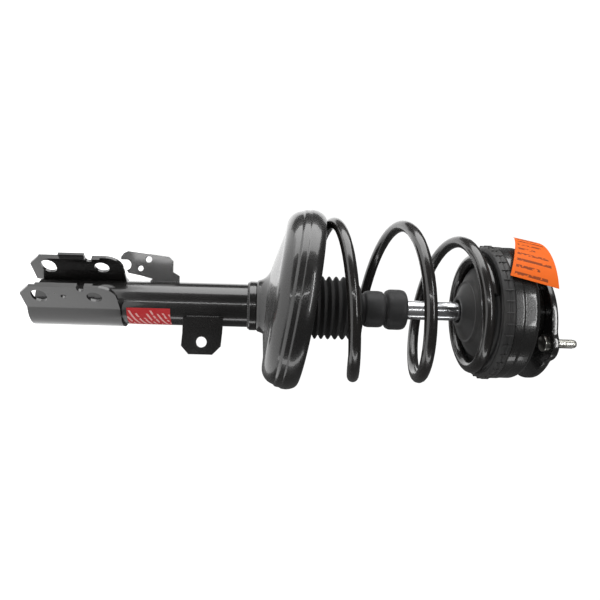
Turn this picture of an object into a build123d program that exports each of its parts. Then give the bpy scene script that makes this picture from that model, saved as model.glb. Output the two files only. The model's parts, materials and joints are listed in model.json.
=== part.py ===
from build123d import *
import os
from math import cos, pi, radians, sin, tan

# A front suspension strut, standing upright in millimetres. The rod's axis is the Z axis, and the origin is
# where that axis crosses the flat face that bolts up against the body's strut tower.
# +Z points up at the tower, and +Y points out to the wheel's knuckle.

# ---------------------------------------------------------------- driving dimensions
rod_radius = 11.0
tube_radius = 25.0
tube_wall = 2.0
tube_top = -211.0
tube_bottom = -574.0
running_gap = 0.05            # radial clearance where one piece slides or turns in another

side_angle = 36.6             # turn from +X to the side on which the hose bracket stands
side = Vector(cos(radians(side_angle)), sin(radians(side_angle)), 0)
front = Vector(-side.Y, side.X, 0)       # square to side, and the normal of both small brackets

stud_radius = 5.0             # M10
knurl_radius = 5.5            # the stud's shank, pressed into the plate
stud_head_radius, stud_head_height = 9.0, 3.0
stud_circle = 55.0
stud_shift = -17.0            # the stud circle's centre lies inboard of the rod
stud_height = 26.0
plate_thickness = 8.0

ear_gap = 38.8                # between the knuckle bracket's two ears
ear_reach = 55.0
bracket_sheet = 3.2
bracket_top = -477.0
bracket_bottom = -581.0
bolt_radius = 8.25            # clearance for M16 knuckle bolts
bolt_reach = 38.5             # from the rod's axis to the line of bolts
upper_bolt = -501.0
lower_bolt = -561.0
slot_travel = 4.0             # extra length of the camber slot

wire_radius = 6.65
seat_tilt = 8.5               # degrees, the lower seat's raised side is the hose bracket's side
seat_shift = 12.5             # the lower seat's centre from the rod, to the same side
seat_floor = -303.7
corner_radius = 17.0          # between the dish's floor and its wall
seat_sheet = 3.0

ball_circle = 35.0
ball_count = 20
ball_radius = 2.5
bearing_middle = -35.0

pieces = []


def keep(builder, label):
    """Give a finished piece its name and put it on the list to write."""
    builder.part.label = label
    pieces.append(builder.part)


# Planes through the rod's axis: local x runs outwards, and local y runs up.
profile = Plane.XZ
# Flat on the small brackets: local x runs up the strut, and local y runs out to their side.
bracket_plane = Plane(origin=(0, 0, 0), x_dir=(0, 0, 1), z_dir=front)

# ---------------------------------------------------------------- plain rings
# name: inner radius, outer radius, bottom, top
rings = {
    "rod_washer": (7.1, 20.0, -16.0, -13.0),
    "bearing_cage": (28.0, 42.0, -35.8, -34.2),
    "rebound_stop": (rod_radius, 15.6, -246.0, -234.3),
    "rod_seal": (rod_radius + running_gap, tube_radius - tube_wall, -219.0, -214.0),
    "tube_end_ring": (rod_radius + 1.5, tube_radius - tube_wall, -214.0, tube_top),
    "pressure_cylinder": (16.0 + running_gap, 17.8, -558.0, -234.0),
    "seat_collar": (tube_radius, 28.5, -334.0, -325.0),
}
for name, (inner, outer, bottom, top) in rings.items():
    with BuildPart() as ring:
        with BuildSketch(Plane.XY.offset(bottom)):
            Circle(outer)
            Circle(inner, mode=Mode.SUBTRACT)
        extrude(amount=top - bottom)
        if name == "bearing_cage":
            with PolarLocations(ball_circle, ball_count):
                Hole(ball_radius)
        elif name in ("seat_collar", "rod_washer"):
            chamfer(ring.edges().filter_by(GeomType.CIRCLE).sort_by(SortBy.RADIUS)[-2:], 0.8)
    keep(ring, name)

# ---------------------------------------------------------------- top mount
plate_centre = (0, stud_shift)
lobe_radius = 19.0
disc_radius = 66.0

with BuildPart() as mount_plate:
    with BuildSketch(Plane.XY.offset(-plate_thickness)):
        with Locations(plate_centre):
            Circle(disc_radius)
            with PolarLocations(stud_circle, 3, start_angle=30):
                Circle(lobe_radius)
        fillet(vertices(), 14)
        Circle(30, mode=Mode.SUBTRACT)
        with Locations(plate_centre):
            with PolarLocations(stud_circle, 3, start_angle=30):
                Circle(knurl_radius, mode=Mode.SUBTRACT)
    extrude(amount=plate_thickness)
    outer_edges = mount_plate.faces().sort_by(Axis.Z)[-1].outer_wire().edges()
    chamfer(outer_edges, 2.0)
    chamfer(mount_plate.faces().sort_by(Axis.Z)[0].outer_wire().edges(), 1.0)
keep(mount_plate, "mount_plate")

with BuildPart() as tower_studs:
    # head, shank and thread, from the bottom up
    stud_steps = [(stud_head_radius, -plate_thickness - stud_head_height, stud_head_height),
                  (knurl_radius, -plate_thickness, plate_thickness),
                  (stud_radius, 0, stud_height)]
    for radius, bottom, height in stud_steps:
        with BuildSketch(Plane.XY.offset(bottom)):
            with Locations(plate_centre):
                with PolarLocations(stud_circle, 3, start_angle=30):
                    Circle(radius)
        extrude(amount=height)
    chamfer(tower_studs.faces().group_by(Axis.Z)[-1].edges(), 1.2)
    chamfer(tower_studs.faces().group_by(Axis.Z)[0].edges(), 0.8)
keep(tower_studs, "tower_studs")

with BuildPart() as mount_housing:
    with BuildSketch(profile):
        with BuildLine():
            Polyline((25, -27), (36, -27), (38, -25), (38, -8), (35.5, -8), (35.5, -24.5), (25, -24.5),
                     close=True)
        make_face()
    revolve(axis=Axis.Z)
keep(mount_housing, "mount_housing")

with BuildPart() as mount_insert:
    with BuildSketch(profile):
        with BuildLine():
            Polyline((7.1, -34), (20, -34), (20, -31), (14, -28), (14, -20), (20, -17), (20, -16),
                     (7.1, -16), close=True)
        make_face()
    revolve(axis=Axis.Z)
keep(mount_insert, "mount_insert")

with BuildPart() as mount_rubber:
    with BuildSketch(profile):
        with BuildLine():
            Polyline((14, -28), (20, -31), (22, -31), (25, -27), (25, -24.5), (35.5, -24.5),
                     (35.5, -10), (30, -11), (24, -14.5), (20, -17), (14, -20), close=True)
        make_face()
    revolve(axis=Axis.Z)
keep(mount_rubber, "mount_rubber")

with BuildPart() as rod_nut:
    with BuildSketch(Plane.XY.offset(-13)):
        RegularPolygon(11.5, 6, major_radius=False)
        Circle(7, mode=Mode.SUBTRACT)
    extrude(amount=10)
    chamfer(rod_nut.faces().sort_by(Axis.Z)[-1].outer_wire().edges(), 0.8)
keep(rod_nut, "rod_nut")

# ---------------------------------------------------------------- strut bearing
with BuildPart() as bearing_upper_race:
    with BuildSketch(profile):
        with BuildLine():
            Polyline((27, -33.6), (43, -33.6), (43, -27), (27, -27), close=True)
        make_face()
        with Locations((ball_circle, bearing_middle)):
            Circle(ball_radius + running_gap, mode=Mode.SUBTRACT)
    revolve(axis=Axis.Z)
keep(bearing_upper_race, "bearing_upper_race")

with BuildPart() as bearing_lower_race:
    with BuildSketch(profile):
        with BuildLine():
            Polyline((27, -43), (43, -43), (43, -36.4), (27, -36.4), close=True)
        make_face()
        with Locations((ball_circle, bearing_middle)):
            Circle(ball_radius + running_gap, mode=Mode.SUBTRACT)
    revolve(axis=Axis.Z)
keep(bearing_lower_race, "bearing_lower_race")

with BuildPart() as bearing_balls:
    with Locations((0, 0, bearing_middle)):
        with PolarLocations(ball_circle, ball_count):
            Sphere(ball_radius)
keep(bearing_balls, "bearing_balls")

# ---------------------------------------------------------------- upper spring seat
with BuildPart() as upper_spring_seat:
    with BuildSketch(profile):
        with BuildLine():
            Polyline((24, -46), (45, -46), (59, -30), (65, -30), (72.5, -35), (72.5, -57), (75.5, -57),
                     (75.5, -33.5), (66, -27), (58, -27), (44, -43), (24, -43), close=True)
        make_face()
    revolve(axis=Axis.Z)
keep(upper_spring_seat, "upper_spring_seat")

with BuildPart() as upper_insulator:
    with BuildSketch(profile):
        with BuildLine():
            Polyline((13.5, -92), (18, -92), (51.5, -73), (54.5, -67), (68, -67), (71, -70), (75, -69),
                     (77, -62), (76.5, -57), (72.5, -57), (72.5, -35), (65, -30), (59, -30), (45, -46),
                     (24, -46), (20, -50), (20, -80), (13.5, -86), close=True)
        make_face()
    revolve(axis=Axis.Z)
keep(upper_insulator, "upper_insulator")


# ---------------------------------------------------------------- coil spring
def blend(value, stations):
    """Read a smooth curve through (position, height) stations, flat outside them."""
    if value <= stations[0][0]:
        return stations[0][1]
    for (x0, y0), (x1, y1) in zip(stations, stations[1:]):
        if value <= x1:
            return y0 + (y1 - y0) * (value - x0) / (x1 - x0)
    return stations[-1][1]


# Turns are counted from the side of the hose bracket: height of the coil's middle, its radius and its shift.
coil_start, coil_end = -1.5, 3.2
coil_height = [(-1.0, -288.5), (-0.75, -286.3), (-0.5, -277.0), (0.0, -245.7), (0.5, -206.8),
               (1.0, -166.7), (1.5, -131.7), (2.0, -98.0), (2.35, -79.0), (2.6, -73.9)]
coil_radius = [(0.5, 88.0), (1.5, 86.0), (2.0, 73.0), (2.5, 65.0), (3.0, 61.0)]
coil_shift = [(-0.6, 10.3), (0.0, 10.0), (2.0, 8.0), (2.6, 0.0)]
coil_tilt = [(-0.6, 0.149), (0.0, 0.055), (2.0, 0.055), (2.6, 0.0)]
points_per_turn = 16


def coil_point(turn):
    """A point on the wire's centre line."""
    angle = 2 * pi * turn
    radius = blend(turn, coil_radius)
    across = radius * cos(angle)
    along = radius * sin(angle)
    height = blend(turn, coil_height) + blend(turn, coil_tilt) * across
    return side * (blend(turn, coil_shift) + across) + front * along + Vector(0, 0, height)


steps = round((coil_end - coil_start) * points_per_turn)
coil_points = [coil_point(coil_start + (coil_end - coil_start) * n / steps) for n in range(steps + 1)]
with BuildPart() as coil_spring:
    with BuildLine() as wire_line:
        Spline(*coil_points)
    with BuildSketch(Plane(origin=wire_line.line @ 0, z_dir=wire_line.line % 0)):
        Circle(wire_radius)
    sweep(is_frenet=True)
keep(coil_spring, "coil_spring")

# ---------------------------------------------------------------- rod and piston
with BuildPart() as rod:
    with BuildSketch(profile):
        with BuildLine():
            Polyline((0, -344), (5.2, -344), (6, -343), (6, -312), (rod_radius, -312), (rod_radius, -35),
                     (rod_radius - 1, -34), (7, -34), (7, -2), (6, -1), (0, -1), close=True)
        make_face()
    revolve(axis=Axis.Z)
keep(rod, "rod")

with BuildPart() as piston:
    with BuildSketch(Plane.XY.offset(-332)):
        Circle(16)
        Circle(6, mode=Mode.SUBTRACT)
        with PolarLocations(11, 6):
            Circle(1.8, mode=Mode.SUBTRACT)
    extrude(amount=20)
keep(piston, "piston")

with BuildPart() as piston_nut:
    with BuildSketch(Plane.XY.offset(-341)):
        RegularPolygon(8, 6, major_radius=False)
        Circle(6, mode=Mode.SUBTRACT)
    extrude(amount=9)
keep(piston_nut, "piston_nut")

# ---------------------------------------------------------------- strut tube and its insides
with BuildPart() as strut_tube:
    with BuildSketch(profile):
        with BuildLine():
            Polyline((tube_radius - tube_wall, tube_bottom), (tube_radius, tube_bottom),
                     (tube_radius, tube_top - 2), (tube_radius - 1.5, tube_top + 2),
                     (tube_radius - 6, tube_top + 2), (tube_radius - 6, tube_top),
                     (tube_radius - tube_wall, tube_top), close=True)
        make_face()
    revolve(axis=Axis.Z)
keep(strut_tube, "strut_tube")

with BuildPart() as base_cap:
    with BuildSketch(profile):
        with BuildLine():
            Polyline((0, -577), (16, -577), (tube_radius - tube_wall, -572), (tube_radius - tube_wall, -566),
                     (0, -566), close=True)
        make_face()
    revolve(axis=Axis.Z)
keep(base_cap, "base_cap")

with BuildPart() as base_valve:
    with BuildSketch(Plane.XY.offset(-566)):
        Circle(20)
    extrude(amount=8)
    with BuildSketch(Plane.XY.offset(-558)):
        Circle(16)
    extrude(amount=10)
    with BuildSketch(Plane.XY.offset(-566)):
        with PolarLocations(10, 6):
            Circle(1.6)
    extrude(amount=18, mode=Mode.SUBTRACT)
keep(base_valve, "base_valve")

with BuildPart() as rod_guide:
    with BuildSketch(profile):
        with BuildLine():
            Polyline((rod_radius + running_gap, -234), (17.8, -234), (17.8, -230),
                     (tube_radius - tube_wall, -228), (tube_radius - tube_wall, -219),
                     (rod_radius + running_gap, -219), close=True)
        make_face()
    revolve(axis=Axis.Z)
keep(rod_guide, "rod_guide")

# ---------------------------------------------------------------- lower spring seat
seat_origin = side * seat_shift + Vector(0, 0, seat_floor)
seat_normal = (Vector(0, 0, 1) - side * tan(radians(seat_tilt))).normalized()
seat_profile = Plane(origin=seat_origin, x_dir=front, z_dir=front.cross(seat_normal))
seat_axis = Axis(seat_origin, seat_normal)
corner_start = 83.0           # where the flat floor bends up into the wall

with BuildPart() as lower_spring_seat:
    # the dish, about its own tilted axis
    with BuildSketch(seat_profile):
        with BuildLine():
            Polyline((18, -8.5), (30, -8.5), (74, 0), (corner_start, 0))
            CenterArc((corner_start, corner_radius), corner_radius, -90, 90)
            Polyline((corner_start + corner_radius, corner_radius), (102.3, 24), (102.3, 30), (100.8, 36),
                     (98.4, 40))
            offset(amount=seat_sheet / 2)
        make_face()
    revolve(axis=seat_axis)
    # the neck that is welded to the tube
    with BuildSketch(profile):
        with BuildLine():
            Polyline((25, -325), (28.4, -325), (30.5, -318), (38, -308), (38, -303), (25, -303), close=True)
        make_face()
    revolve(axis=Axis.Z)
    # room for the tube
    with BuildSketch(Plane.XY.offset(seat_floor)):
        Circle(tube_radius)
    extrude(amount=40, both=True, mode=Mode.SUBTRACT)
keep(lower_spring_seat, "lower_spring_seat")

with BuildPart() as lower_insulator:
    with BuildSketch(seat_profile):
        with BuildLine():
            Polyline((76, 1.5), (83, 1.5), (88.4, 2.7), (93, 6.2), (95.8, 10.2), (94.8, 11), (91, 8),
                     (88, 7.4), (76, 7.4), close=True)
        make_face()
    revolve(axis=seat_axis)
keep(lower_insulator, "lower_insulator")

# ---------------------------------------------------------------- knuckle bracket
ear_middle = (bracket_top + bracket_bottom) / 2
ear_height = bracket_top - bracket_bottom
ear_offset = (ear_gap + bracket_sheet) / 2      # from the strut's middle plane to an ear's middle
lip_height = 2.6
corner_round = 17.0

with BuildPart() as knuckle_bracket:
    # the sheet, wrapped round the tube and bent out into two ears
    with BuildSketch(Plane.XY.offset(bracket_bottom)):
        Circle(tube_radius + bracket_sheet)
        with Locations((0, ear_reach / 2)):
            Rectangle(ear_gap + 2 * bracket_sheet, ear_reach)
        fillet(vertices().group_by(Axis.Y)[0], 4)
    extrude(amount=ear_height)
    with BuildSketch(Plane.XY.offset(bracket_bottom)):
        Circle(tube_radius)
        with Locations((0, ear_reach / 2 + 10)):
            Rectangle(ear_gap, ear_reach + 20)
    extrude(amount=ear_height, mode=Mode.SUBTRACT)
    # lips along the ears' outer edges, turned in towards each other
    with BuildSketch(Plane.XZ.offset(-ear_reach)):
        with Locations((ear_gap / 2 - lip_height / 2, ear_middle - 2),
                       (lip_height / 2 - ear_gap / 2, ear_middle - 2)):
            Rectangle(lip_height, ear_height - 42)
    extrude(amount=bracket_sheet)
    # the tab on one ear
    with BuildSketch(Plane.YZ.offset(ear_offset)):
        with Locations((ear_reach, -531)):
            Rectangle(8, 29)
    extrude(amount=bracket_sheet / 2, both=True)
    # the shape of the ears, seen along the bolts
    with BuildSketch(Plane.YZ):
        with Locations((ear_reach, -513)):
            SlotOverall(14, 8)
        with Locations((ear_reach, bracket_bottom)):
            Rectangle(18, 18, rotation=45)
        with BuildLine():
            # the rounded corner beside the upper bolt
            Line((ear_reach - corner_round, bracket_top), (ear_reach, bracket_top))
            Line((ear_reach, bracket_top), (ear_reach, bracket_top - corner_round))
            RadiusArc((ear_reach, bracket_top - corner_round), (ear_reach - corner_round, bracket_top),
                      -corner_round)
        make_face()
        with Locations((bolt_reach, upper_bolt)):
            Circle(bolt_radius)
        with Locations((bolt_reach, lower_bolt)):
            SlotOverall(2 * bolt_radius + slot_travel, 2 * bolt_radius)
    extrude(amount=40, both=True, mode=Mode.SUBTRACT)
    with BuildSketch(Plane.YZ.offset(-ear_offset)):
        with Locations((bolt_reach, -534)):
            Circle(3.5)
    extrude(amount=5, both=True, mode=Mode.SUBTRACT)
keep(knuckle_bracket, "knuckle_bracket")

# ---------------------------------------------------------------- small brackets welded to the tube
hose_sheet = 3.0
with BuildPart() as hose_bracket:
    with BuildSketch(bracket_plane.offset(1.5)):
        with BuildLine():
            Polyline((-483.7, 49.4), (-483.7, 52.5), (-480.5, 57), (-475.6, 59.3), (-428, 53.8), (-423, 49.3),
                     (-423, 36.5), (-415.3, 32), (-415.3, 20), (-449, 20), (-449, 25.5), (-446.6, 28),
                     (-459, 31), (-474.5, 34), (-476.8, 37.3))
            ThreePointArc((-476.8, 37.3), (-471.6, 43.4), (-476.8, 49.4))
            Line((-476.8, 49.4), (-483.7, 49.4))
        make_face()
        with Locations((-451.3, 50.4)):
            Circle(3.7, mode=Mode.SUBTRACT)
        with Locations((-460.6, 39.7)):
            Circle(3.2, mode=Mode.SUBTRACT)
    extrude(amount=hose_sheet)
    with BuildSketch(Plane.XY.offset(bracket_top)):
        Circle(tube_radius)
    extrude(amount=80, both=True, mode=Mode.SUBTRACT)
keep(hose_bracket, "hose_bracket")

link_middle = -387.0
link_bolt_radius = 6.15
with BuildPart() as link_tab:
    # the bent sheet, seen along the strut: local x runs to the hose bracket's side
    with BuildSketch(Plane(origin=(0, 0, link_middle - 24), x_dir=side, z_dir=(0, 0, 1))):
        with BuildLine():
            Polyline((-14, 20), (-32, 11.5), (-57, 11.5), (-57, 15.5), (-32.9, 15.5), (-14, 24.4), close=True)
        make_face()
    extrude(amount=49)
    with BuildSketch(bracket_plane):
        with BuildLine():
            Polyline((-406.8, -5), (-410, -47.5), (-401.5, -57), (-374.3, -57), (-365, -47.5), (-361.3, -5),
                     close=True)
        make_face()
        with Locations((link_middle, -42.8)):
            Circle(link_bolt_radius, mode=Mode.SUBTRACT)
    extrude(amount=40, mode=Mode.INTERSECT)
    with BuildSketch(Plane.XY.offset(link_middle)):
        Circle(tube_radius)
    extrude(amount=40, both=True, mode=Mode.SUBTRACT)
keep(link_tab, "link_tab")

# ---------------------------------------------------------------- dust boot and bump stop
boot_crest, boot_root = 38.0, 30.5
boot_wall = 1.8
boot_folds = 8
crests = [-216.5 - 9 * n + 0.17 * n ** 2 for n in range(boot_folds)]
outer_folds = [(boot_root, crests[0] + 4.5)]
for upper, lower in zip(crests, crests[1:] + [crests[-1] - 6.5]):
    outer_folds += [(boot_crest, upper + 0.8), (boot_crest, upper - 0.8), (boot_root, (upper + lower) / 2)]
inner_folds = [(r - boot_wall - 0.6, z) for r, z in reversed(outer_folds)]
boot_rim = tube_top + 2.4

with BuildPart() as dust_boot:
    with BuildSketch(profile):
        with BuildLine():
            Polyline((14, boot_rim), (inner_folds[-1][0], boot_rim), *inner_folds[-1:], close=False)
            Polyline(inner_folds[-1], *inner_folds[-2::-1], outer_folds[-1])
            Polyline(*reversed(outer_folds), (boot_root - 1, boot_rim + 2), (14, boot_rim + 2), (14, boot_rim))
        make_face()
    revolve(axis=Axis.Z)
keep(dust_boot, "dust_boot")

stop_bottom, stop_top = boot_rim + 2, -152.7
with BuildPart() as bump_stop:
    with BuildSketch(profile):
        with BuildLine():
            Polyline((11.6, stop_bottom), (17, stop_bottom), (18.5, -203.5), (17.5, -201.5), (20, -200),
                     (21.3, -197), (21.3, -183), (20, -180), (17.5, -178), (17.5, -176.5), (21.5, -175.5),
                     (23.5, -172), (23.5, -158), (22, -154), (19.5, stop_top), (11.6, stop_top), close=True)
        make_face()
    revolve(axis=Axis.Z)
keep(bump_stop, "bump_stop")

os.makedirs("parts", exist_ok=True)
for piece in pieces:
    export_step(piece, f"parts/{piece.label}.step")
    print(piece.label, round(piece.volume), len(piece.solids()), piece.is_valid)
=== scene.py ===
import json
from math import cos, pi, radians, sin

import bpy
from mathutils import Matrix, Vector


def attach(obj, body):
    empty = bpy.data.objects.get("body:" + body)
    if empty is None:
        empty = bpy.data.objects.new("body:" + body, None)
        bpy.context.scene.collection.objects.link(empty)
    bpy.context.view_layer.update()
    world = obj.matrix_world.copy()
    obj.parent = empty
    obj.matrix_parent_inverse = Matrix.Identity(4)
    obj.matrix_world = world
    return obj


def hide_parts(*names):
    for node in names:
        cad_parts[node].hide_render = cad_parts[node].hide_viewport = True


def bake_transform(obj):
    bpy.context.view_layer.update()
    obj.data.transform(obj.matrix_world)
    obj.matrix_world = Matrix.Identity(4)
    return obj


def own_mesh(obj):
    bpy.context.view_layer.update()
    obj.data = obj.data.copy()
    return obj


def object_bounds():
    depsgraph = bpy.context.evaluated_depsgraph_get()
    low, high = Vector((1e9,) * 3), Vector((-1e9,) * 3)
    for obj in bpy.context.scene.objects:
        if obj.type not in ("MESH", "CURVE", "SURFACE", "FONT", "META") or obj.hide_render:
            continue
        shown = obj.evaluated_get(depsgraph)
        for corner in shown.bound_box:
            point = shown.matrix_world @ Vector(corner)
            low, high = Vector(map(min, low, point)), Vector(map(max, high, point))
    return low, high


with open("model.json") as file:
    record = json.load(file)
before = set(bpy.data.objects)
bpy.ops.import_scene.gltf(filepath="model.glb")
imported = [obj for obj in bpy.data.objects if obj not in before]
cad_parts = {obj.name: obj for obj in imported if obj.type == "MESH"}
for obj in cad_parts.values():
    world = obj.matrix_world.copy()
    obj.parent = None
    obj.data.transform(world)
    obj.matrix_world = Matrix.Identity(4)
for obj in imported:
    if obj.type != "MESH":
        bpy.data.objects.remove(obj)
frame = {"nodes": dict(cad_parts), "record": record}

# A suspension strut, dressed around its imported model. Metres, with Z up along the piston rod.
cadLow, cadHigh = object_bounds()
mm = 0.001
sideAngle = radians(36.6)                                  # the way the hose bracket stands, from +X
side = Vector((cos(sideAngle), sin(sideAngle), 0))
front = Vector((-sin(sideAngle), cos(sideAngle), 0))       # square to the two small brackets
up = Vector((0, 0, 1))
print("frame loaded:", len(frame["nodes"]), "nodes")


# modelling helpers

def onlySelect(piece):
    bpy.ops.object.select_all(action="DESELECT")
    piece.select_set(True)
    bpy.context.view_layer.objects.active = piece


def editAll(piece):
    onlySelect(piece)
    bpy.ops.object.mode_set(mode="EDIT")
    bpy.ops.mesh.select_all(action="SELECT")


def leaveEdit():
    bpy.ops.object.mode_set(mode="OBJECT")


def settle(piece):
    # the place goes into the mesh, so the object sits at the origin
    onlySelect(piece)
    bpy.ops.object.transform_apply(location=True, rotation=True, scale=True)


def show(thing):
    bpy.context.scene.collection.objects.link(thing)
    return thing


def copied(piece, place):
    # a copy with its own mesh, put in its place
    other = piece.copy()
    other.data = piece.data.copy()
    show(other)
    other.matrix_world = place
    settle(other)
    return other


def useModifier(piece, kind, **settings):
    onlySelect(piece)
    modifier = piece.modifiers.new(kind.lower(), kind)
    for key, value in settings.items():
        setattr(modifier, key, value)
    bpy.ops.object.modifier_apply(modifier=modifier.name)


def smooth(piece, angle=35):
    onlySelect(piece)
    bpy.ops.object.shade_smooth_by_angle(angle=radians(angle))


def roundedPath(points, radius, steps=4, closed=True):
    # every corner becomes a small arc; radius may be one number or one for each point
    path = []
    count = len(points)
    for n, point in enumerate(points):
        here = Vector(point)
        if not closed and n in (0, count - 1):
            path.append(tuple(here))
            continue
        before, after = Vector(points[n - 1]), Vector(points[(n + 1) % count])
        size = radius[n] if isinstance(radius, (list, tuple)) else radius
        toBefore, toAfter = before - here, after - here
        reach = min(size, 0.45 * toBefore.length, 0.45 * toAfter.length)
        start, end = here + toBefore.normalized() * reach, here + toAfter.normalized() * reach
        for k in range(steps + 1):
            t = k / steps
            path.append(tuple(start * (1 - t) ** 2 + here * 2 * t * (1 - t) + end * t ** 2))
    return path


def turned(name, profile, steps=96, middle=(0, 0), closed=True):
    # a ring is drawn through the (radius, height) profile, one extrusion for each point
    radius, height = profile[0]
    bpy.ops.mesh.primitive_circle_add(vertices=steps, radius=radius, location=(*middle, height))
    piece = bpy.context.object
    piece.name = piece.data.name = name
    editAll(piece)
    for nextRadius, nextHeight in profile[1:] + (profile[:1] if closed else []):
        bpy.ops.mesh.extrude_region_move(TRANSFORM_OT_translate={"value": (0, 0, nextHeight - height)})
        share = nextRadius / radius
        bpy.ops.transform.resize(value=(share, share, 1), center_override=(*middle, nextHeight))
        radius, height = nextRadius, nextHeight
    bpy.ops.mesh.select_all(action="SELECT")
    bpy.ops.mesh.remove_doubles(threshold=1e-6)
    if not closed:
        bpy.ops.mesh.fill_holes(sides=0)
    bpy.ops.mesh.select_all(action="SELECT")
    bpy.ops.mesh.normals_make_consistent(inside=False)
    leaveEdit()
    settle(piece)
    smooth(piece)
    return piece


def softened(name, node, width):
    # a copy of a CAD piece with its sharp edges worn round
    piece = show(bpy.data.objects.new(name, frame["nodes"][node].data.copy()))
    editAll(piece)
    bpy.ops.mesh.remove_doubles(threshold=2e-6)
    bpy.ops.mesh.dissolve_limited(angle_limit=radians(1))
    leaveEdit()
    useModifier(piece, "BEVEL", width=width, segments=2, limit_method="ANGLE",
                angle_limit=radians(38), use_clamp_overlap=True)
    smooth(piece, 30)
    useModifier(piece, "WEIGHTED_NORMAL", keep_sharp=True, weight=80)
    return piece


# shader helpers

class Signal:
    # a shader value; arithmetic on it adds Math nodes
    def __init__(self, finish, socket):
        self.finish = finish
        self.socket = socket

    def maths(self, operation, first, second):
        return self.finish.add("ShaderNodeMath", {"operation": operation}, {0: first, 1: second})

    def __add__(self, other):
        return self.maths("ADD", self, other)

    def __radd__(self, other):
        return self.maths("ADD", other, self)

    def __mul__(self, other):
        return self.maths("MULTIPLY", self, other)

    def __lt__(self, other):
        return self.maths("LESS_THAN", self, other)

    def __gt__(self, other):
        return self.maths("GREATER_THAN", self, other)

    def floor(self):
        return self.maths("FLOOR", self, 0)

    def fraction(self):
        return self.maths("FRACT", self, 0)


class Finish:
    # one material: its constants go on the shader's own sockets, and add() makes any other node
    def __init__(self, name, **constants):
        self.material = bpy.data.materials.new(name)
        self.material.use_nodes = True
        self.tree = self.material.node_tree
        self.shader = self.tree.nodes["Principled BSDF"]
        for key, value in constants.items():
            self.shader.inputs[key.replace("_", " ")].default_value = value

    def add(self, kind, settings, values, output=0):
        node = self.tree.nodes.new(kind)
        for key, value in settings.items():
            setattr(node, key, value)
        for key, value in values.items():
            if isinstance(value, Signal):
                self.tree.links.new(value.socket, node.inputs[key])
            else:
                node.inputs[key].default_value = value
        return Signal(self, node.outputs[output])

    def place(self, scale=(1, 1, 1)):
        spot = self.add("ShaderNodeTexCoord", {}, {}, "Object")
        return self.add("ShaderNodeMapping", {}, {"Vector": spot, "Scale": scale})

    def noise(self, size, detail=3, rough=0.55, stretch=(1, 1, 1)):
        # size is the width of one blotch in metres
        return self.add("ShaderNodeTexNoise", {}, {"Vector": self.place(stretch), "Scale": 1 / size,
                                                   "Detail": detail, "Roughness": rough})

    def blend(self, factor, first, second):
        return self.add("ShaderNodeMix", {"data_type": "RGBA"}, {0: factor, 6: first, 7: second}, 2)

    def ramp(self, value, low, high):
        # 0 below low, 1 above high
        return self.add("ShaderNodeMapRange", {}, {"Value": value, "From Min": low, "From Max": high})

    def feed(self, **signals):
        for key, value in signals.items():
            self.tree.links.new(value.socket, self.shader.inputs[key.replace("_", " ")])

    def bump(self, height, depth, strength=1.0):
        # depth is the bump's real height in metres
        self.feed(Normal=self.add("ShaderNodeBump", {}, {"Height": height, "Distance": depth,
                                                         "Strength": strength}, "Normal"))


def shade(red, green=None, blue=None):
    return (red, red if green is None else green, red if blue is None else blue, 1)


def glossPaint(name, dark, dusty, roughness, coat):
    # electrocoat: near black, a little orange peel, faint dust and handling marks
    paint = Finish(name, Coat_Weight=coat, Coat_Roughness=0.06, Coat_IOR=1.5)
    clouds = paint.noise(0.05, 4)
    specks = paint.ramp(paint.noise(0.0022, 2, 0.7), 0.66, 0.78)
    marks = paint.ramp(paint.noise(0.012, 5, 0.7), 0.52, 0.75)
    paint.feed(Base_Color=paint.blend(clouds * 0.45 + specks * 0.25 + marks * 0.15, dark, dusty),
               Roughness=roughness + clouds * 0.06 + marks * 0.06)
    peel = paint.noise(0.004, 1, 0.4) + paint.noise(0.0011, 1, 0.4) * 0.12
    paint.bump(peel, 0.00003, 0.4)
    return paint.material


def mouldedRubber(name, dark, bloom, grain, roughness=0.62):
    rubber = Finish(name, Sheen_Weight=0.08, Sheen_Roughness=0.5, Specular_IOR_Level=0.5,
                    Coat_Weight=0.12, Coat_Roughness=0.35)
    clouds = rubber.noise(0.03, 5, 0.6)
    fine = rubber.noise(grain, 3, 0.7)
    rubber.feed(Base_Color=rubber.blend(rubber.ramp(clouds, 0.42, 0.72), dark, bloom),
                Roughness=roughness + clouds * 0.14 + fine * 0.08)
    rubber.bump(fine, 0.00012, 0.7)
    return rubber.material


def bareMetal(name, bright, stained, roughness, lines):
    # lines is how much finer the turning marks are along the axis than round it
    metal = Finish(name, Metallic=1.0)
    turningMarks = metal.noise(0.03, 4, 0.7, (1, 1, lines))
    stains = metal.ramp(metal.noise(0.018, 4), 0.45, 0.75)
    metal.feed(Base_Color=metal.blend(stains * 0.7, bright, stained),
               Roughness=roughness + turningMarks * 0.1 + stains * 0.06)
    metal.bump(turningMarks, 0.00002, 0.5)
    return metal.material


def printedFilm(name, ground, ink, rows, lean=0.0, upright=False):
    # a sticker with plain bars in place of print; upright ones stand across its length
    film = Finish(name, Specular_IOR_Level=0.2)
    spread = film.add("ShaderNodeSeparateXYZ", {}, {0: film.add("ShaderNodeTexCoord", {}, {}, "UV")}, 0)
    across = spread
    down = Signal(film, spread.socket.node.outputs[1])
    if upright:
        across, down = down, across
    rowPlace = (down + across * lean) * rows
    row = rowPlace.floor()
    luck = film.add("ShaderNodeTexWhiteNoise", {"noise_dimensions": "1D"}, {"W": row})
    within = rowPlace.fraction()
    bar = (within > 0.34) * (within < 0.72)
    inked = bar * (across > 0.07) * (across < 0.55 + luck * 0.38)
    gaps = film.noise(0.004, 1, 0.4) > 0.4
    wear = film.noise(0.01, 4)
    film.feed(Base_Color=film.blend(inked * gaps * 0.75 + wear * 0.1, ground, ink),
              Roughness=0.5 + wear * 0.2)
    film.bump(film.noise(0.006, 2), 0.0001, 0.4)
    return film.material


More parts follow.
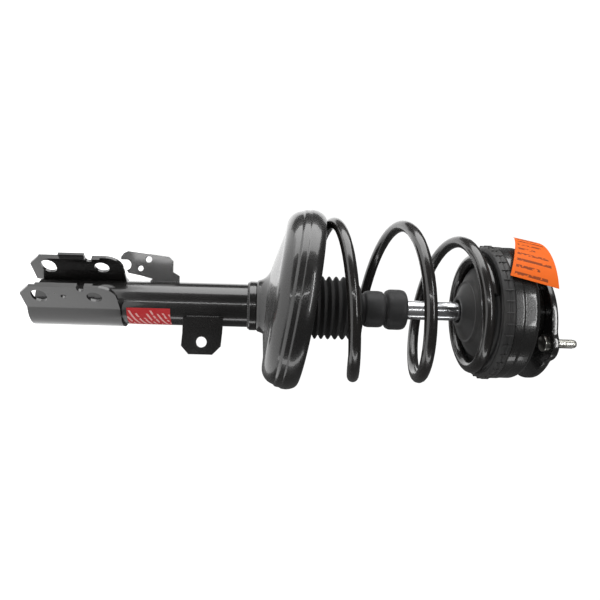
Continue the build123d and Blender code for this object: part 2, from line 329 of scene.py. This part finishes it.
blackPaint = glossPaint("blackPaint", shade(0.007, 0.0068, 0.0068), shade(0.022, 0.021, 0.02), 0.2, 0.6)
springPaint = glossPaint("springPaint", shade(0.009, 0.0082, 0.0078), shade(0.026, 0.024, 0.022), 0.2, 0.5)
seatPaint = glossPaint("seatPaint", shade(0.008, 0.0078, 0.0078), shade(0.024, 0.023, 0.022), 0.24, 0.5)
bootRubber = mouldedRubber("bootRubber", shade(0.006), shade(0.014, 0.0135, 0.013), 0.0012)
padRubber = mouldedRubber("padRubber", shade(0.007), shade(0.018, 0.0165, 0.015), 0.0016, 0.5)
bumpFoam = mouldedRubber("bumpFoam", shade(0.009, 0.009, 0.0095), shade(0.02, 0.02, 0.021), 0.0007, 0.6)
hardChrome = bareMetal("hardChrome", shade(0.72, 0.73, 0.75), shade(0.6, 0.6, 0.6), 0.15, 40)
zincPlate = bareMetal("zincPlate", shade(0.7, 0.7, 0.66), shade(0.55, 0.53, 0.44), 0.26, 12)
machinedSteel = bareMetal("machinedSteel", shade(0.55, 0.55, 0.55), shade(0.42, 0.41, 0.39), 0.3, 30)
cageNylon = mouldedRubber("cageNylon", shade(0.5, 0.48, 0.4), shade(0.6, 0.58, 0.5), 0.002, 0.5)
orangeFilm = printedFilm("orangeFilm", shade(0.72, 0.12, 0.006), shade(0.09, 0.02, 0.006), 9)
redFilm = printedFilm("redFilm", shade(0.42, 0.003, 0.008), shade(0.7, 0.42, 0.4), 8, 0.3, True)

slotFinish = {"black_paint": blackPaint, "spring_coat": springPaint, "rubber": padRubber,
              "bump_foam": bumpFoam, "chrome": hardChrome, "zinc": zincPlate, "steel": machinedSteel,
              "cage_plastic": cageNylon}
for part in frame["record"]["subparts"]:
    node = frame["nodes"][part["node"]]
    for materialSlot in node.material_slots:
        materialSlot.material = slotFinish[part["material_slot"]]
print("finishes made and given to the CAD nodes")


def dress(piece, finish, slotName, body, *nodes):
    # body is left empty for a piece that runs between two bodies, and such a piece is attached to neither
    piece.data.materials.clear()
    piece.data.materials.append(finish)
    if body:
        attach(piece, body)
    if nodes:
        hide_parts(*nodes)


# coil spring, wound one ring of the wire at a time
coil = {
    "wire": 6.65 * mm,
    "ringPoints": 20,
    "stepsPerTurn": 48,
    "start": -1.5,
    "end": 3.2,
    # (turn, value) stations, in millimetres but for the tilt
    "height": [(-1.0, -288.5), (-0.75, -286.3), (-0.5, -277.0), (0.0, -245.7), (0.5, -206.8),
               (1.0, -166.7), (1.5, -131.7), (2.0, -98.0), (2.35, -79.0), (2.6, -73.9)],
    "radius": [(0.5, 88.0), (1.5, 86.0), (2.0, 73.0), (2.5, 65.0), (3.0, 61.0)],
    "shift": [(-0.6, 10.3), (0.0, 10.0), (2.0, 8.0), (2.6, 0.0)],
    "tilt": [(-0.6, 0.149), (0.0, 0.055), (2.0, 0.055), (2.6, 0.0)],
}


def eased(turn, stations):
    # a smooth curve through the stations, flat outside them
    if turn <= stations[0][0]:
        return stations[0][1]
    if turn >= stations[-1][0]:
        return stations[-1][1]
    slopes = [0.0]
    for (x0, y0), (x1, y1), (x2, y2) in zip(stations, stations[1:], stations[2:]):
        before, after = (y1 - y0) / (x1 - x0), (y2 - y1) / (x2 - x1)
        slopes.append(0.0 if before * after <= 0 else 2 * before * after / (before + after))
    slopes.append(0.0)
    for n, ((x0, y0), (x1, y1)) in enumerate(zip(stations, stations[1:])):
        if turn <= x1:
            span = x1 - x0
            t = (turn - x0) / span
            return ((1 + 2 * t) * (1 - t) ** 2 * y0 + t * (1 - t) ** 2 * span * slopes[n]
                    + t * t * (3 - 2 * t) * y1 + t * t * (t - 1) * span * slopes[n + 1])


def coilMiddle(turn):
    angle = 2 * pi * turn
    radius = eased(turn, coil["radius"])
    across = radius * cos(angle)
    height = eased(turn, coil["height"]) + eased(turn, coil["tilt"]) * across
    spot = side * (eased(turn, coil["shift"]) + across) + front * (radius * sin(angle)) + up * height
    return spot * mm


def windCoil():
    steps = round((coil["end"] - coil["start"]) * coil["stepsPerTurn"])
    turns = [coil["start"] + (coil["end"] - coil["start"]) * n / steps for n in range(steps + 1)]
    here = coilMiddle(turns[0])
    bpy.ops.mesh.primitive_circle_add(vertices=coil["ringPoints"], radius=coil["wire"])
    piece = bpy.context.object
    piece.name = piece.data.name = "coilSpringWire"
    facing = Matrix.Rotation(2 * pi * turns[0] + sideAngle, 4, "Z") @ Matrix.Rotation(pi / 2, 4, "X")
    piece.matrix_world = Matrix.Translation(here) @ facing
    settle(piece)
    editAll(piece)
    stepAngle = 2 * pi * (turns[1] - turns[0])
    for turn in turns[1:]:
        there = coilMiddle(turn)
        bpy.ops.mesh.extrude_region_move(TRANSFORM_OT_translate={"value": there - here})
        bpy.ops.transform.rotate(value=-stepAngle, orient_axis="Z", center_override=there)
        here = there
    bpy.ops.mesh.select_all(action="DESELECT")
    bpy.ops.mesh.select_mode(type="EDGE")
    bpy.ops.mesh.select_non_manifold()
    bpy.ops.mesh.fill_holes(sides=0)
    bpy.ops.mesh.select_all(action="SELECT")
    bpy.ops.mesh.normals_make_consistent(inside=False)
    leaveEdit()
    smooth(piece, 40)
    # each ring of the wire is given one share of the stroke, by its height between the lowest and the highest
    # ring
    heights = [eased(turn, coil["height"]) for turn in turns]
    low, high = heights[0], heights[-1]
    shares = [(high - h) / (high - low) for h in heights]
    return piece, [shares[n // coil["ringPoints"]] for n in range(len(piece.data.vertices))]


coilPiece, coilShares = windCoil()
dress(coilPiece, springPaint, "spring_coat", None, "coil_spring")
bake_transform(coilPiece)
print("coil spring wound:", len(coilPiece.data.vertices), "points")


# shapes shared by the pressed and moulded pieces

def arc(middle, radius, first, last, steps):
    # points on an arc in a (radius, height) profile, in degrees
    return [(middle[0] + radius * cos(radians(first + (last - first) * k / steps)),
             middle[1] + radius * sin(radians(first + (last - first) * k / steps))) for k in range(steps + 1)]


def sheetOutline(line, thickness):
    # both faces of a sheet that follows the line, as one closed profile
    above, below = [], []
    for n, point in enumerate(line):
        before, after = Vector(line[max(n - 1, 0)]), Vector(line[min(n + 1, len(line) - 1)])
        along = (after - before).normalized()
        across = Vector((-along.y, along.x)) * thickness / 2
        above.append(tuple((Vector(point) + across) * mm))
        below.append(tuple((Vector(point) - across) * mm))
    return below + above[::-1]


def inMetres(points):
    return [(r * mm, z * mm) for r, z in points]


def joinInto(first, others):
    bpy.ops.object.select_all(action="DESELECT")
    for other in others:
        other.select_set(True)
    first.select_set(True)
    bpy.context.view_layer.objects.active = first
    bpy.ops.object.join()
    return first


def copyTurned(piece, angles, middle=Vector((0, 0, 0))):
    # copies of a finished piece, turned about a line along Z
    there, back = Matrix.Translation(middle), Matrix.Translation(-middle)
    return [copied(piece, there @ Matrix.Rotation(angle, 4, "Z") @ back) for angle in angles]


# lower spring seat: a stepped, tilted dish
dish = {
    "tilt": radians(8.5),
    "origin": side * 12.5 * mm + up * -303.7 * mm,
    "sheet": 2.8,
    "floor": [(26.5, -8.5), (32, -8.4), (70, -1.0), (76, 0.0), (83, 0.0)],
    "corner": (83, 17, 17),                            # middle radius, middle height, radius
    "wall": [(100.4, 15.5), (101.9, 17.0), (102.1, 22.5), (103.2, 24.2), (103.0, 29.5), (101.9, 33.5),
             (100.0, 37.2), (97.9, 39.2), (96.6, 39.0)],
    "steps": 144,
}
dishTurn = Matrix.Rotation(dish["tilt"], 4, -front)


def standOnDish(piece):
    piece.matrix_world = Matrix.Translation(dish["origin"]) @ dishTurn
    settle(piece)


cornerRadius, cornerHeight, cornerSize = dish["corner"]
dishLine = (dish["floor"][:-1] + arc((cornerRadius, cornerHeight), cornerSize, -90, -8, 9) + dish["wall"])
lowerSeat = turned("lowerSeatDish", sheetOutline(roundedPath(dishLine, 1.1, 2, False), dish["sheet"]),
                   dish["steps"])
standOnDish(lowerSeat)
dress(lowerSeat, seatPaint, "black_paint", "strut_tube", "lower_spring_seat")

neck = {
    "line": [(26.4, -324.6), (28.6, -323.5), (30.0, -318.5), (33.5, -313.5), (40.0, -309.0), (46.0, -307.0)],
    "bend": 3,
    "sheet": 2.6,
}
neckLine = roundedPath(neck["line"], neck["bend"], 3, False)
seatNeck = turned("lowerSeatNeck", sheetOutline(neckLine, neck["sheet"]))
dress(seatNeck, seatPaint, "black_paint", "strut_tube")

pad = {
    "line": [(76, 1.6), (83, 1.6), (88.6, 2.9), (93.4, 6.6), (95.6, 10.4), (94.6, 11.4), (91, 8.4), (88, 7.4),
             (82.5, 6.4), (77, 7.4)],
    "soft": 0.9 * mm,
    "steps": 120,
}
seatPad = turned("lowerSeatPad", roundedPath(inMetres(pad["line"]), pad["soft"], 3), pad["steps"])
standOnDish(seatPad)
dress(seatPad, padRubber, "rubber", "strut_tube", "lower_insulator")
print("lower seat done")


# dust boot and bump stop
boot = {
    "crest": 38.0, "root": 30.6, "shoulder": 27.5, "mouth": 13.2, "wall": 1.9, "top": -206.7,
    # the folds stand a little closer together towards the seat
    "folds": 8, "first": -216.5, "spacing": 9, "closing": 0.17,
    "bend": 2.0 * mm,
}


def bootProfile():
    crests = [boot["first"] - boot["spacing"] * n + boot["closing"] * n * n for n in range(boot["folds"])]
    outer = [(boot["mouth"], boot["top"]), (boot["shoulder"], boot["top"]), (boot["root"], crests[0] + 4.8)]
    for here, below in zip(crests, crests[1:] + [crests[-1] - 6.5]):
        outer += [(boot["crest"], here), (boot["root"], (here + below) / 2)]
    inner = [(r - boot["wall"] - 0.5, z) for r, z in reversed(outer[3:])]
    ceiling = boot["top"] - boot["wall"]
    inner += [(26.2, ceiling), (boot["mouth"], ceiling)]
    bends = [0.3] + [1.5] * (len(outer) - 2) + [0.8] + [0.6] * (len(inner) - 1) + [0.3]
    return roundedPath(inMetres(outer + inner), [boot["bend"] * b for b in bends], 4)


dustBoot = turned("dustBootBellows", bootProfile())
dress(dustBoot, bootRubber, "rubber", "strut_tube", "dust_boot")

stop = {
    "profile": [(11.7, -206.4), (17.0, -206.4), (18.5, -203.6), (17.2, -201.6), (20.2, -200.4),
                (21.3, -196.5), (21.3, -184), (20.4, -179.8), (17.2, -178.2), (17.2, -176.6),
                (21.6, -175.8), (23.5, -171.5), (23.5, -159), (22.2, -154.6), (19, -152.9), (13, -152.9),
                (11.7, -154.5)],
    "soft": 5.5 * mm,
    "floor": -206.6 * mm,
    "keep": 0.54,
}
bumpStop = turned("bumpStopLobes", roundedPath(inMetres(stop["profile"]), stop["soft"], 4), 80)
dress(bumpStop, bumpFoam, "bump_foam", "strut_tube", "bump_stop")
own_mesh(bumpStop)
print("boot and bump stop done")


# upper seat and its ribbed rubber
upper = {
    "rubber": [(13.6, -91.9), (17.6, -91.9), (20.5, -89.6), (33, -82.6), (35.5, -83.4), (38, -80.0),
               (50.8, -73.2), (54.0, -67.3), (60, -67.3), (61.5, -65.8), (64.5, -65.8), (66, -67.3),
               (68.6, -67.5),
               (71.2, -69.8), (74.6, -69.0), (76.8, -64.5), (75.4, -62.4), (76.8, -60.6), (76.2, -57.2),
               (72.6, -57.0), (72.4, -35.2), (65, -30.1), (59, -30.1), (45, -46.1), (24, -46.1), (20.1, -50),
               (20.1, -80), (13.6, -86)],
    "ribs": 40,
    "ribSize": (3.4, 1.7, 9.0),
    "ribPlace": (75.6, -62.6),
    "shell": [(24.4, -44.5), (43.6, -44.5), (46.2, -43.2), (57.6, -29.8), (60, -28.6), (65.4, -28.6),
              (68, -29.9),
              (73.0, -33.2), (74.0, -35.4), (74.0, -47.0), (74.6, -49.0), (74.6, -56.9)],
}
upperRubber = turned("upperInsulatorBody", roundedPath(inMetres(upper["rubber"]), 1.1 * mm, 3), 120)
ribRadius, ribHeight = upper["ribPlace"]
bpy.ops.mesh.primitive_cube_add(size=1, location=(ribRadius * mm, 0, ribHeight * mm),
                                scale=[size * mm for size in upper["ribSize"]])
rib = bpy.context.object
rib.name = rib.data.name = "upperInsulatorRibs"
settle(rib)
useModifier(rib, "BEVEL", width=0.7 * mm, segments=3, limit_method="NONE")
smooth(rib)
turns = [2 * pi * n / upper["ribs"] for n in range(1, upper["ribs"])]
ribs = joinInto(rib, copyTurned(rib, turns))
dress(upperRubber, padRubber, "rubber", "upper_seat", "upper_insulator")
dress(ribs, padRubber, "rubber", "upper_seat")
upperShell = turned("upperSeatShell", sheetOutline(roundedPath(upper["shell"], 2.4, 4, False), 2.6), 144)
dress(upperShell, seatPaint, "black_paint", "upper_seat", "upper_spring_seat")
print("upper seat done")


# tower studs: one threaded stud, copied round its circle
stud = {
    "radius": 5.0, "pitch": 1.5, "depth": 0.55, "top": 25.9, "threadFrom": 3.0, "plainTip": 2.4, "steps": 40,
    # the head under the plate, the shank inside it and the neck above it
    "head": [(7.8, -11), (8.8, -10.4), (9, -9.6), (8.8, -8.0), (5.45, -8.0), (5.45, -0.3), (4.7, 0.0)],
    "neck": 4.7,
    "centre": Vector((0, -17, 0)) * mm, "circle": 55.0, "first": radians(30),
}


def makeStuds():
    crest, root = stud["radius"], stud["radius"] - stud["depth"]
    outline = stud["head"] + [(stud["neck"], stud["threadFrom"])]
    threads = int((stud["top"] - stud["threadFrom"] - stud["plainTip"]) / stud["pitch"])
    for n in range(threads):
        z = stud["threadFrom"] + n * stud["pitch"]
        outline += [(root, z + 0.25), (crest, z + 0.65), (crest, z + 0.85), (root, z + 1.25)]
    outline += [(root, stud["top"] - 1.4), (crest - 1.5, stud["top"])]
    place = stud["centre"] + Vector((cos(stud["first"]), sin(stud["first"]), 0)) * stud["circle"] * mm
    piece = turned("towerStud1", inMetres(outline), stud["steps"], (place.x, place.y), closed=False)
    return [piece] + copyTurned(piece, [2 * pi / 3, 4 * pi / 3], stud["centre"])


studPieces = makeStuds()
for number, piece in enumerate(studPieces, 1):
    piece.name = piece.data.name = f"towerStud{number}"
    dress(piece, zincPlate, "zinc", "mount", *(["tower_studs"] if number == 1 else []))
print("studs done")


# pressed and forged pieces keep their CAD shape, with worn edges
for name, node, finish, slotName, body, width in [
    ("towerPlate", "mount_plate", blackPaint, "black_paint", "mount", 1.3),
    ("mountCup", "mount_housing", blackPaint, "black_paint", "mount", 1.0),
    ("knuckleBracket", "knuckle_bracket", blackPaint, "black_paint", "strut_tube", 0.8),
    ("hoseBracket", "hose_bracket", blackPaint, "black_paint", "strut_tube", 0.6),
    ("linkTab", "link_tab", blackPaint, "black_paint", "strut_tube", 0.8),
    ("tubeCollar", "seat_collar", blackPaint, "black_paint", "strut_tube", 0.8),
    ("strutTube", "strut_tube", blackPaint, "black_paint", "strut_tube", 0.7),
    ("rodNut", "rod_nut", zincPlate, "zinc", "mount", 0.4),
]:
    dress(softened(name, node, width * mm), finish, slotName, body, node)
print("softened pieces done")


# weld beads: one bead, flattened and copied along each joint
def weldRow(name, places, size):
    bpy.ops.mesh.primitive_uv_sphere_add(segments=14, ring_count=8, radius=size * mm)
    bead = bpy.context.object
    beads = []
    for n, (place, along) in enumerate(places):
        flattened = Vector((0.72, 1, 0.86 + 0.08 * (n % 2)))
        beads.append(copied(bead, Matrix.LocRotScale(place, along.to_track_quat("X", "Z"), flattened)))
    bpy.data.objects.remove(bead)
    row = joinInto(beads[0], beads[1:])
    row.name = row.data.name = name
    smooth(row, 60)
    dress(row, blackPaint, "black_paint", "strut_tube")


def spot(z, u, p):
    return (up * z + side * u + front * p) * mm


def alongTube(radius, angle, low, high, count):
    # a row up the tube; the angle is counted from the hose bracket's side towards the front
    u, p = radius * cos(radians(angle)), radius * sin(radians(angle))
    return [(spot(low + (high - low) * n / (count - 1), u, p), up) for n in range(count)]


def roundTube(radius, z, count):
    # a ring of places, each with the way that the weld runs there
    angles = [2 * pi * n / count for n in range(count)]
    return [(spot(z, radius * cos(a), radius * sin(a)), front * cos(a) - side * sin(a)) for a in angles]


weldRow("linkTabWeldNear", alongTube(25.0, 124, -402, -368, 15), 2.1)
weldRow("linkTabWeldFar", alongTube(25.0, 149, -406, -364, 18), 2.1)
weldRow("hoseBracketWeld", alongTube(24.8, 12.5, -446, -417, 13), 1.9)
weldRow("hoseBracketWeldFar", alongTube(24.8, 0, -446, -417, 13), 1.9)
weldRow("collarWeld", roundTube(25.6, -334.4, 84), 1.5)
print("welds done")


# stickers, each a thin curved sheet; a corner is (angle, height, radius)
stickers = {
    "orangeSticker": {
        "corners": [(2, -30, 87.5), (8, -6, 81.5), (60, -61.5, 79.5), (70, -13, 78.5)],
        "rows": 24, "columns": 16, "thickness": 0.4,
    },
    "redSticker": {
        "corners": [(103, -471, 25.12), (103, -422, 25.12), (168, -471, 25.12), (168, -422, 25.12)],
        "rows": 20, "columns": 12, "thickness": 0.15,
    },
}


def curvedFilm(name, corners, rows, columns, thickness):
    # two corners along the first edge, then the same two along the last
    bpy.ops.mesh.primitive_grid_add(x_subdivisions=columns, y_subdivisions=rows, size=1)
    film = bpy.context.object
    film.name = film.data.name = name
    firstLow, firstHigh, lastLow, lastHigh = (Vector(corner) for corner in corners)
    for vertex in film.data.vertices:
        across, along = vertex.co.x + 0.5, vertex.co.y + 0.5
        first, last = firstLow.lerp(firstHigh, across), lastLow.lerp(lastHigh, across)
        angle, z, r = last.lerp(first, along)
        vertex.co = spot(z, r * cos(radians(angle)), r * sin(radians(angle)))
    useModifier(film, "SOLIDIFY", thickness=thickness * mm, offset=1)
    editAll(film)
    bpy.ops.mesh.normals_make_consistent(inside=False)
    leaveEdit()
    smooth(film, 40)
    return film


for name, film, slotName, body in [("orangeSticker", orangeFilm, "orange_sticker", "mount"),
                                   ("redSticker", redFilm, "red_sticker", "strut_tube")]:
    dress(curvedFilm(name, **stickers[name]), film, slotName, body)
print("stickers done")


# camera and lights
# the camera stands towards the knuckle end, and the shift brings the strut back to the middle
camera = {"distance": 642 * mm, "height": -275 * mm, "rise": 8.2 * mm, "roll": radians(1.6),
          "lens": 33.06, "sensor": 36, "aside": 42 * mm}


def makeCamera():
    right = up * cos(camera["roll"]) + side * sin(camera["roll"])
    top = side * cos(camera["roll"]) - up * sin(camera["roll"])
    spot = (front * camera["distance"] + up * camera["height"] + side * camera["rise"]
            - right * camera["aside"])
    data = bpy.data.cameras.new("camera")
    data.lens, data.sensor_width = camera["lens"], camera["sensor"]
    data.shift_x = camera["aside"] / camera["distance"] * camera["lens"] / camera["sensor"]
    data.clip_start, data.clip_end = 0.01, 50
    holder = show(bpy.data.objects.new("camera", data))
    turn = Matrix((right, top, front)).transposed().to_4x4()
    holder.matrix_world = Matrix.Translation(spot) @ turn
    bpy.context.scene.camera = holder


middle = up * -0.28
studio = {"lighting": 0.09, "backdrop": 1.05, "floorSize": 1.3, "floorGap": 0.06}


def softLight(name, spot, size, power):
    data = bpy.data.lights.new(name, "AREA")
    data.shape = "RECTANGLE"
    data.size, data.size_y = size
    data.energy = power
    lamp = show(bpy.data.objects.new(name, data))
    lamp.location = spot
    lamp.rotation_euler = (middle - spot).to_track_quat("-Z", "Y").to_euler()


makeCamera()
softLight("topSoftbox", middle + side * 0.95 + front * 0.15, (0.8, 1.6), 17)
softLight("frontStrip", middle + front * 1.3 + side * 0.16, (0.05, 1.3), 2.2)
softLight("lowStrip", middle - side * 0.95 + front * 0.15, (0.14, 1.4), 2.2)
softLight("endStrip", up * 0.5 + front * 0.9 + side * 0.1, (0.9, 0.08), 4)
softLight("lowerEndBox", up * -0.95 + front * 0.75, (0.22, 0.22), 2.6)
softLight("rearFill", middle - front * 1.2 + side * 0.5, (1.0, 1.5), 6)

world = bpy.data.worlds.new("studio")
bpy.context.scene.world = world
world.use_nodes = True
background = world.node_tree.nodes["Background"]
rays = world.node_tree.nodes.new("ShaderNodeLightPath")
brightness = world.node_tree.nodes.new("ShaderNodeMapRange")
brightness.inputs["To Min"].default_value = studio["lighting"]
brightness.inputs["To Max"].default_value = studio["backdrop"]
world.node_tree.links.new(rays.outputs["Is Camera Ray"], brightness.inputs["Value"])
world.node_tree.links.new(brightness.outputs[0], background.inputs["Strength"])
background.inputs["Color"].default_value = (1, 1, 1, 1)
bpy.context.scene.view_settings.view_transform = "Standard"

bpy.ops.mesh.primitive_plane_add(size=studio["floorSize"], location=(0, 0, cadLow.z - studio["floorGap"]))
floor = bpy.context.object
floor.name = "studioFloor"
floorPaint = Finish("floorPaint", Roughness=0.9, Base_Color=shade(0.8), Emission_Color=shade(1.0),
                    Emission_Strength=1.0)
floor.data.materials.append(floorPaint.material)
